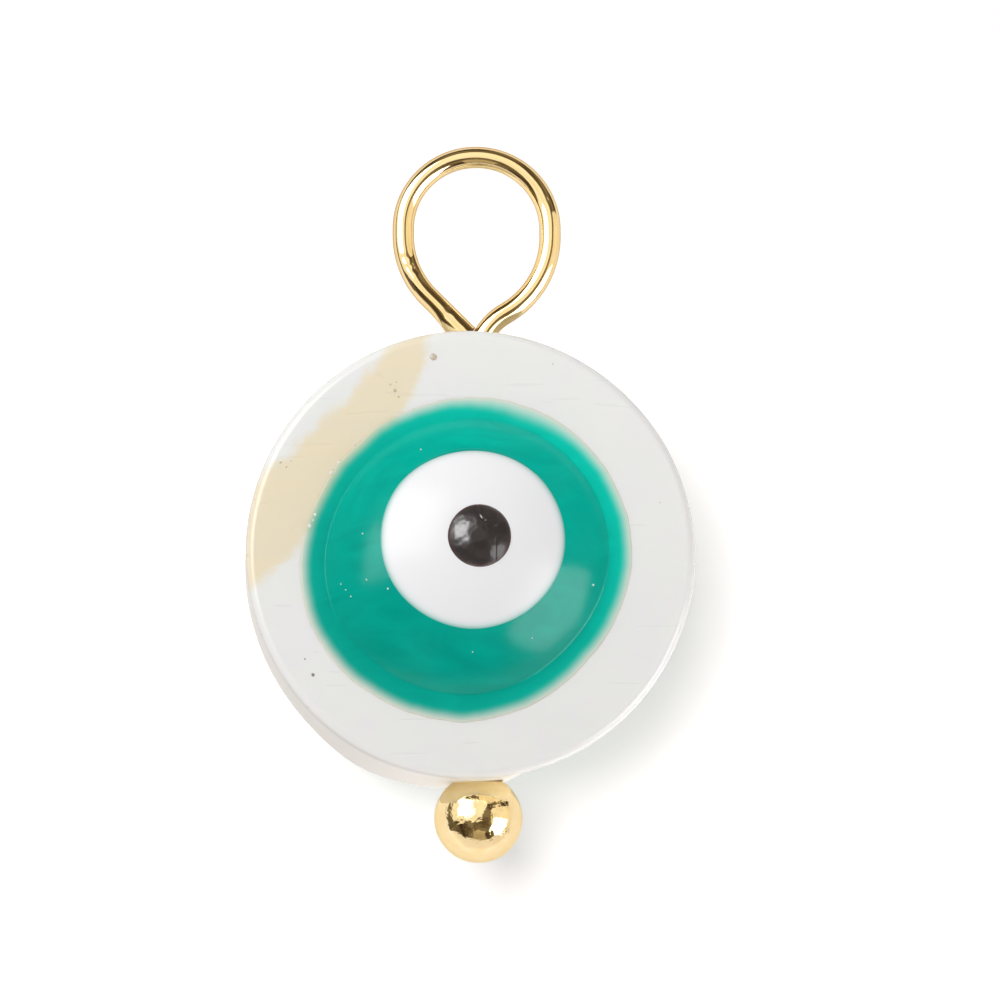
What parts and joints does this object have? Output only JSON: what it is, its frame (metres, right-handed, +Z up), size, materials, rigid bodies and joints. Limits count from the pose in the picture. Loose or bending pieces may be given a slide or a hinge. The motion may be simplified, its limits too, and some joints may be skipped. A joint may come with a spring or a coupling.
{
  "type": "evil eye charm",
  "caption": "Small hanging charm: a flat round shell bead with an enamel evil eye on both faces, free to spin on a gold-plated ball-head pin that ends in a wire eye.",
  "frame": {"origin": "centre of the wire's hanging eye, on the middle line of its wire", "axes": "+Z up along the pin as the charm hangs, -Y out of the front eye's face, +X to the viewer's right"},
  "size_m": [0.01, 0.0054, 0.0164],
  "materials": {
    "gold_plated_wire": "polished, gold plated",
    "gold_plated_ball": "polished, gold plated, slightly pitted",
    "freshwater_shell": "polished nacre, pearly",
    "green_enamel": "glossy, translucent at its thin edge",
    "white_enamel": "glossy",
    "black_enamel": "glossy"
  },
  "bodies": {
    "headpin": {"pin_wire": "gold_plated_wire", "ball_head": "gold_plated_ball"},
    "bead": {"shell_disc": "freshwater_shell", "front_green_enamel": "green_enamel", "front_white_enamel": "white_enamel", "front_pupil_enamel": "black_enamel", "back_green_enamel": "green_enamel", "back_white_enamel": "white_enamel", "back_pupil_enamel": "black_enamel"}
  },
  "joints": [
    {"name": "bead_spin", "type": "hinge", "parent": "headpin", "child": "bead", "pos_m": [0, 0, -0.00763], "axis": [0, 0, 1], "continuous": true}
  ]
}
